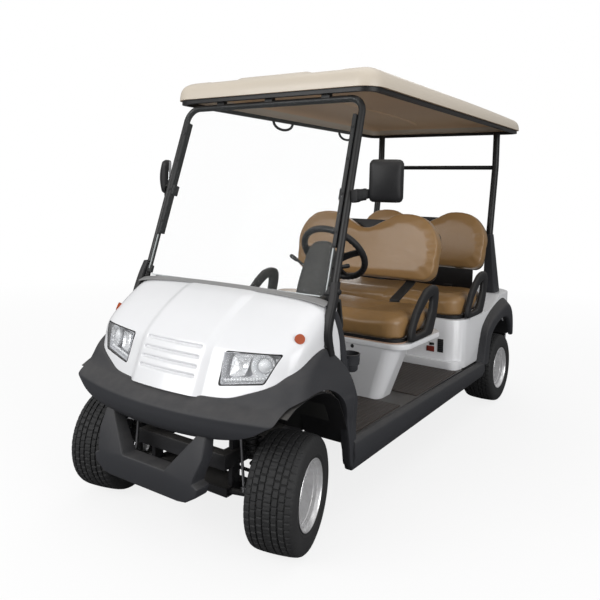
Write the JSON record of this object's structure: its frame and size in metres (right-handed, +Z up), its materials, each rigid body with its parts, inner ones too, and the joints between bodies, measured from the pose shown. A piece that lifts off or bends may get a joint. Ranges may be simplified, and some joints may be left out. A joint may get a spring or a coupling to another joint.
{
  "type": "four-seat electric golf cart",
  "caption": "Open-sided two-row electric cart with a roof, clear screen, vinyl bench seats, moulded body panels and steered front wheels.",
  "frame": {"origin": "on the ground, under the centre of the overall box", "axes": "+Y rearwards along the cart, +X to its left side, +Z up; the cart faces -Y"},
  "size_m": [1.4797, 3.1, 1.984],
  "materials": {
    "body_white": "gloss moulded, lightly soiled",
    "fender_grey": "fine-grained moulded plastic",
    "dash_grey": "grained moulded plastic",
    "frame_black": "satin powder coat",
    "moulded_black": "satin moulded plastic",
    "seat_vinyl": "glossy grained vinyl",
    "roof_beige": "satin moulded plastic",
    "chassis_steel": "satin black paint",
    "motor_metal": "painted casting",
    "battery_case": "moulded case",
    "screen_clear": "clear acrylic",
    "lamp_clear": "clear lens over bright reflector",
    "lamp_amber": "amber lens",
    "lamp_red": "red lens",
    "mat_rubber": "ribbed rubber sheet",
    "tyre_rubber": "road tyre",
    "rim_alloy": "polished cast alloy"
  },
  "bodies": {
    "cart_body": {"back_frames": "frame_black", "battery_block": "battery_case", "bumper_guard": "fender_grey", "chassis_frame": "chassis_steel", "column_cover": "dash_grey", "dash_panel": "dash_grey", "door_jambs": "dash_grey", "floor_mats": "mat_rubber", "floor_pan": "chassis_steel", "front_cowl": "body_white", "front_fenders": "fender_grey", "front_seat_back": "seat_vinyl", "front_seat_base": "body_white", "front_seat_cushion": "seat_vinyl", "front_suspension": "chassis_steel", "grab_handles": "frame_black", "headlights": "lamp_clear", "hip_restraints": "moulded_black", "mirrors": "moulded_black", "motor": "motor_metal", "pedals": "moulded_black", "post_covers": "fender_grey", "rear_axle": "chassis_steel", "rear_body": "body_white", "rear_bumper": "fender_grey", "rear_fenders": "fender_grey", "rear_posts": "frame_black", "rear_seat_back": "seat_vinyl", "rear_seat_cushion": "seat_vinyl", "roof_rail": "frame_black", "roof_shell": "roof_beige", "side_markers": "lamp_amber", "side_rockers": "fender_grey", "steering_column": "moulded_black", "tail_lamps": "lamp_red", "windscreen": "screen_clear", "windscreen_frame": "frame_black"},
    "steering_wheel": {"steering_wheel": "moulded_black"},
    "tie_rod": {"tie_rod": "chassis_steel"},
    "knuckle_left": {"knuckle_left": "chassis_steel"},
    "knuckle_right": {"knuckle_right": "chassis_steel"},
    "wheel_front_left": {"tyre_front_left": "tyre_rubber", "rim_front_left": "rim_alloy"},
    "wheel_front_right": {"tyre_front_right": "tyre_rubber", "rim_front_right": "rim_alloy"},
    "wheel_rear_left": {"tyre_rear_left": "tyre_rubber", "rim_rear_left": "rim_alloy"},
    "wheel_rear_right": {"tyre_rear_right": "tyre_rubber", "rim_rear_right": "rim_alloy"}
  },
  "joints": [
    {"name": "steer_left", "type": "hinge", "parent": "cart_body", "child": "knuckle_left", "pos_m": [0.42, -1.245, 0.23], "axis": [0, 0, 1], "range_deg": [-44, 16]},
    {"name": "steer_right", "type": "hinge", "parent": "cart_body", "child": "knuckle_right", "pos_m": [-0.42, -1.245, 0.23], "axis": [0, 0, 1], "range_deg": [-44, 16]},
    {"name": "steering_wheel_turn", "type": "hinge", "parent": "cart_body", "child": "steering_wheel", "pos_m": [0.264, -0.567, 1.111], "axis": [0, 0.766, 0.6428], "range_deg": [-660, 240]},
    {"name": "tie_rod_slide", "type": "slide", "parent": "cart_body", "child": "tie_rod", "axis": [1, 0, 0], "range_m": [-0.017, 0.045]},
    {"name": "spin_front_left", "type": "hinge", "parent": "knuckle_left", "child": "wheel_front_left", "pos_m": [0.48307, -1.22927, 0.23], "axis": [0.9703, 0.2419, 0], "continuous": true},
    {"name": "spin_front_right", "type": "hinge", "parent": "knuckle_right", "child": "wheel_front_right", "pos_m": [-0.48307, -1.26073, 0.23], "axis": [0.9703, 0.2419, 0], "continuous": true},
    {"name": "spin_rear_left", "type": "hinge", "parent": "cart_body", "child": "wheel_rear_left", "pos_m": [0.49, 1.145, 0.23], "axis": [1, 0, 0], "continuous": true},
    {"name": "spin_rear_right", "type": "hinge", "parent": "cart_body", "child": "wheel_rear_right", "pos_m": [-0.49, 1.145, 0.23], "axis": [1, 0, 0], "continuous": true}
  ],
  "couplings": [
    {"joint": "steer_right", "follows": "steer_left", "ratio": 1},
    {"joint": "steering_wheel_turn", "follows": "steer_left", "ratio": 15},
    {"joint": "tie_rod_slide", "follows": "steer_left", "m_per_rad": -0.0573}
  ]
}
